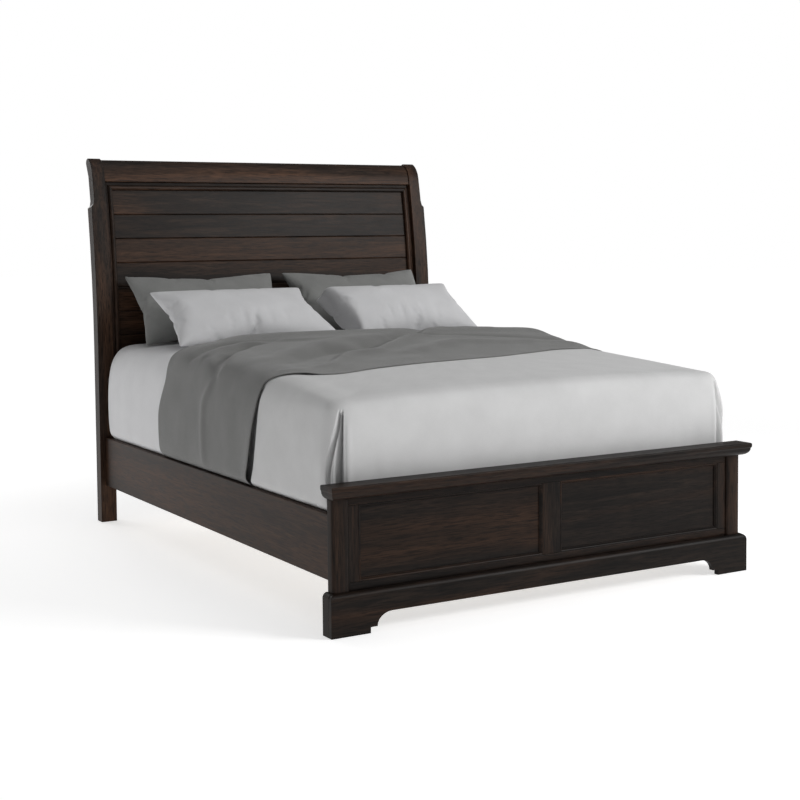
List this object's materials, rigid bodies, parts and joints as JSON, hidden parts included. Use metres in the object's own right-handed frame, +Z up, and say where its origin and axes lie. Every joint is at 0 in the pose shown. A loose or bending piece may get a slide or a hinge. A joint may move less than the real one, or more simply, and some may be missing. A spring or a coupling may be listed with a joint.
{
  "type": "sleigh bed",
  "caption": "Dressed queen sleigh bed: curved plank headboard, low panelled footboard with bracket feet, side rails, box spring, mattress, bedding and pillows.",
  "frame": {"origin": "bottom centre of the whole bed, on the floor", "axes": "+X to the right as seen from the foot, +Y from the footboard to the headboard, +Z up"},
  "size_m": [1.708, 2.3194, 1.5654],
  "materials": {
    "espresso_wood": "dark espresso stain, hand rubbed through to reddish brown on edges, satin lacquer",
    "slat_wood": "sanded bare pine",
    "zinc_steel": "zinc plated",
    "black_plastic": "moulded, matte",
    "ticking": "woven ticking",
    "mattress_knit": "knitted mattress cover",
    "sheet_cotton": "light grey cotton",
    "coverlet_cotton": "pale grey woven cotton",
    "blanket_weave": "dark grey woven",
    "pillow_dark": "dark grey cotton sateen",
    "pillow_light": "pale grey cotton sateen"
  },
  "bodies": {
    "bed_frame": {"footboard_bottom_rail": "espresso_wood", "footboard_cap": "espresso_wood", "footboard_mullion": "espresso_wood", "footboard_panel_left": "espresso_wood", "footboard_panel_moulding_left": "espresso_wood", "footboard_panel_moulding_right": "espresso_wood", "footboard_panel_right": "espresso_wood", "footboard_plinth": "espresso_wood", "footboard_post_left": "espresso_wood", "footboard_post_right": "espresso_wood", "footboard_stile_left": "espresso_wood", "footboard_stile_right": "espresso_wood", "footboard_top_rail": "espresso_wood", "headboard_crest": "espresso_wood", "headboard_lower_rail": "espresso_wood", "headboard_moulding_left": "espresso_wood", "headboard_moulding_right": "espresso_wood", "headboard_moulding_top": "espresso_wood", "headboard_plank_1": "espresso_wood", "headboard_plank_2": "espresso_wood", "headboard_plank_3": "espresso_wood", "headboard_plank_4": "espresso_wood", "headboard_plank_5": "espresso_wood", "headboard_plank_6": "espresso_wood", "headboard_plank_7": "espresso_wood", "headboard_plank_8": "espresso_wood", "headboard_plank_9": "espresso_wood", "headboard_post_left": "espresso_wood", "headboard_post_right": "espresso_wood", "plinth_return_left": "espresso_wood", "plinth_return_right": "espresso_wood", "rail_bracket_foot_left": "zinc_steel", "rail_bracket_foot_right": "zinc_steel", "rail_bracket_head_left": "zinc_steel", "rail_bracket_head_right": "zinc_steel", "side_rail_left": "espresso_wood", "side_rail_right": "espresso_wood", "slat_1": "slat_wood", "slat_2": "slat_wood", "slat_3": "slat_wood", "slat_4": "slat_wood", "slat_5": "slat_wood", "slat_cleat_left": "slat_wood", "slat_cleat_right": "slat_wood", "support_leg_1": "slat_wood", "support_leg_2": "slat_wood", "support_leg_3": "slat_wood"},
    "box_spring": {"box_spring": "ticking"},
    "mattress": {"mattress": "mattress_knit", "fitted_sheet": "sheet_cotton", "coverlet": "coverlet_cotton", "blanket": "blanket_weave"},
    "pillow_back_left": {"pillow_back_left": "pillow_dark"},
    "pillow_back_right": {"pillow_back_right": "pillow_dark"},
    "pillow_front_left": {"pillow_front_left": "pillow_light"},
    "pillow_front_right": {"pillow_front_right": "pillow_light"},
    "leveller_1": {"leveller_1": "black_plastic"},
    "leveller_2": {"leveller_2": "black_plastic"},
    "leveller_3": {"leveller_3": "black_plastic"}
  },
  "joints": [
    {"name": "box_spring_lift", "type": "slide", "parent": "bed_frame", "child": "box_spring", "axis": [0, 0, 1], "range_m": [0, 0.25]},
    {"name": "mattress_lift", "type": "slide", "parent": "box_spring", "child": "mattress", "axis": [0, 0, 1], "range_m": [0, 0.3]},
    {"name": "pillow_back_left_lift", "type": "slide", "parent": "mattress", "child": "pillow_back_left", "axis": [0, 0, 1], "range_m": [0, 0.3]},
    {"name": "pillow_front_left_lift", "type": "slide", "parent": "pillow_back_left", "child": "pillow_front_left", "axis": [0, -0.6, 0.8], "range_m": [0, 0.3]},
    {"name": "pillow_back_right_lift", "type": "slide", "parent": "mattress", "child": "pillow_back_right", "axis": [0, 0, 1], "range_m": [0, 0.3]},
    {"name": "pillow_front_right_lift", "type": "slide", "parent": "pillow_back_right", "child": "pillow_front_right", "axis": [0, -0.6, 0.8], "range_m": [0, 0.3]},
    {"name": "leveller_1_adjust", "type": "slide", "parent": "bed_frame", "child": "leveller_1", "axis": [0, 0, 1], "range_m": [0, 0.018]},
    {"name": "leveller_2_adjust", "type": "slide", "parent": "bed_frame", "child": "leveller_2", "axis": [0, 0, 1], "range_m": [0, 0.018]},
    {"name": "leveller_3_adjust", "type": "slide", "parent": "bed_frame", "child": "leveller_3", "axis": [0, 0, 1], "range_m": [0, 0.018]}
  ]
}
